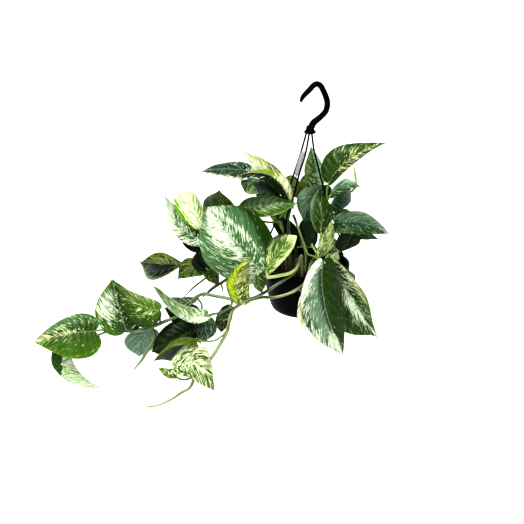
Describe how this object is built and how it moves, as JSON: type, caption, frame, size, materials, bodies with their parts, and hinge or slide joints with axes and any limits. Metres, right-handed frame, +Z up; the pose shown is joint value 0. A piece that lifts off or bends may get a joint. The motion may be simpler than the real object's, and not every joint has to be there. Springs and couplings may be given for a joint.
{
  "type": "potted marble queen pothos in a hanging pot",
  "caption": "Trailing house plant with cream-marbled heart-shaped leaves in a round black plastic pot, hung from an S-shaped hook by thin strands.",
  "frame": {"origin": "inside top of the hook, the point that rests on what the pot hangs from", "axes": "+Z up, +X to the right as the plant is seen from the front, -Y towards the viewer"},
  "size_m": [0.5887, 0.2238, 0.5278],
  "materials": {
    "pot_plastic": "satin",
    "hanger_plastic": "satin",
    "tag_plastic": "satin",
    "potting_mix": "matte",
    "leaf_and_stem": "satin"
  },
  "bodies": {
    "root": {"pot": "pot_plastic", "soil": "potting_mix", "hook": "hanger_plastic", "strand_left": "hanger_plastic", "strand_middle": "hanger_plastic", "strand_right": "hanger_plastic", "care_tag": "tag_plastic", "shoot_front_left": "leaf_and_stem", "vine_far_left": "leaf_and_stem", "vine_low_left": "leaf_and_stem", "vine_upper_left": "leaf_and_stem", "shoot_top_left": "leaf_and_stem", "shoot_middle_left": "leaf_and_stem", "shoot_top_right": "leaf_and_stem", "shoot_right": "leaf_and_stem", "shoot_front_right": "leaf_and_stem", "shoot_far_right": "leaf_and_stem", "shoot_hanging_right": "leaf_and_stem", "shoot_behind_hanging": "leaf_and_stem", "shoot_back_left": "leaf_and_stem", "shoot_back_middle": "leaf_and_stem", "shoot_back_right": "leaf_and_stem"}
  },
  "joints": []
}
